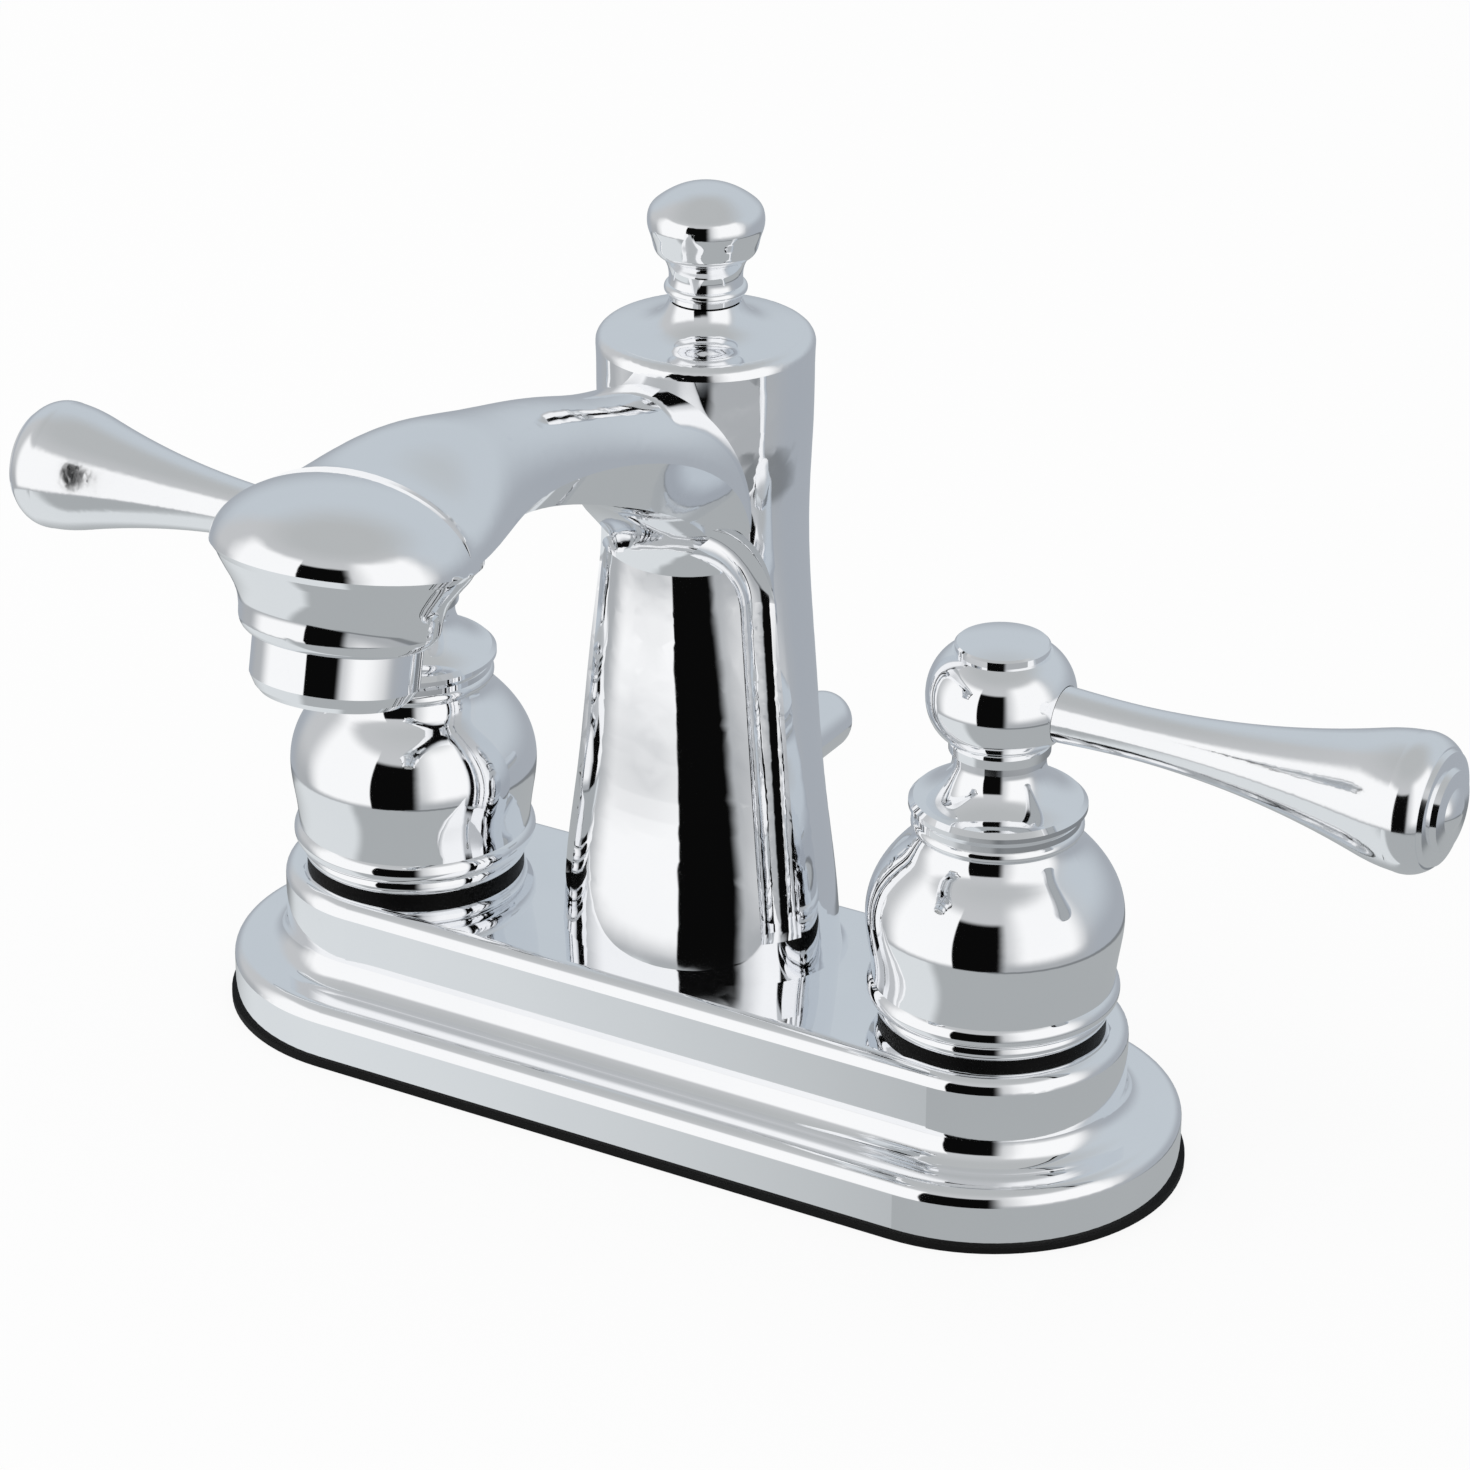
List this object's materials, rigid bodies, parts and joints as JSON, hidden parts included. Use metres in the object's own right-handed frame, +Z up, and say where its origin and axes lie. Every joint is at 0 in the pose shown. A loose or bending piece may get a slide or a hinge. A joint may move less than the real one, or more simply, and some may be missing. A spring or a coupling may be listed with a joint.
{
  "type": "bathroom faucet",
  "caption": "Centerset bathroom faucet: stepped base plate, arched spout with a bell-shaped head, a lever handle on each bell, and a lift rod for the drain.",
  "frame": {"origin": "middle of the deck plane under the gasket, halfway between the handle axes", "axes": "+Z up off the deck, +X towards the cold handle, -Y the way the spout points"},
  "size_m": [0.2448, 0.1521, 0.2382],
  "materials": {
    "cast_brass": "as cast",
    "chrome_aerator": "polished",
    "chrome_bell": "polished",
    "chrome_cap": "polished",
    "chrome_handle": "polished",
    "chrome_knob": "polished",
    "chrome_plate": "polished",
    "chrome_plug": "polished",
    "chrome_spout": "polished",
    "gasket_rubber": "matte black",
    "nut_brass": "machined",
    "ring_plastic": "satin black",
    "rod_steel": "polished",
    "screen_plastic": "moulded",
    "seal_rubber": "matte black",
    "shank_brass": "threaded",
    "steel": "plain",
    "turned_brass": "turned",
    "washer_steel": "zinc plated"
  },
  "bodies": {
    "faucet_body": {"aerator_housing": "chrome_aerator", "aerator_screen": "screen_plastic", "aerator_washer": "seal_rubber", "base_plate": "chrome_plate", "cold_bell": "chrome_bell", "cold_bell_ring": "ring_plastic", "cold_body_nut": "nut_brass", "cold_bonnet_nut": "nut_brass", "cold_cartridge": "turned_brass", "cold_mounting_nut": "nut_brass", "cold_mounting_washer": "washer_steel", "cold_shank": "shank_brass", "deck_gasket": "gasket_rubber", "hot_bell": "chrome_bell", "hot_bell_ring": "ring_plastic", "hot_body_nut": "nut_brass", "hot_bonnet_nut": "nut_brass", "hot_cartridge": "turned_brass", "hot_mounting_nut": "nut_brass", "hot_mounting_washer": "washer_steel", "hot_shank": "shank_brass", "rear_plug": "chrome_plug", "spout_body": "chrome_spout", "spout_screws": "steel", "spout_seal": "seal_rubber", "valve_manifold": "cast_brass"},
    "hot_handle": {"hot_handle_hub": "chrome_handle", "hot_lever": "chrome_handle", "hot_index_cap": "chrome_cap", "hot_handle_screw": "steel", "hot_stem": "turned_brass"},
    "cold_handle": {"cold_handle_hub": "chrome_handle", "cold_lever": "chrome_handle", "cold_index_cap": "chrome_cap", "cold_handle_screw": "steel", "cold_stem": "turned_brass"},
    "lift_rod": {"lift_rod": "rod_steel", "lift_knob": "chrome_knob"}
  },
  "joints": [
    {"name": "hot_turn", "type": "hinge", "parent": "faucet_body", "child": "hot_handle", "pos_m": [-0.0508, 0, 0.0752], "axis": [0, 0, 1], "range_deg": [0, 90]},
    {"name": "cold_turn", "type": "hinge", "parent": "faucet_body", "child": "cold_handle", "pos_m": [0.0508, 0, 0.0752], "axis": [0, 0, 1], "range_deg": [-90, 0]},
    {"name": "rod_lift", "type": "slide", "parent": "faucet_body", "child": "lift_rod", "axis": [0, 0, 1], "range_m": [0, 0.02]}
  ]
}
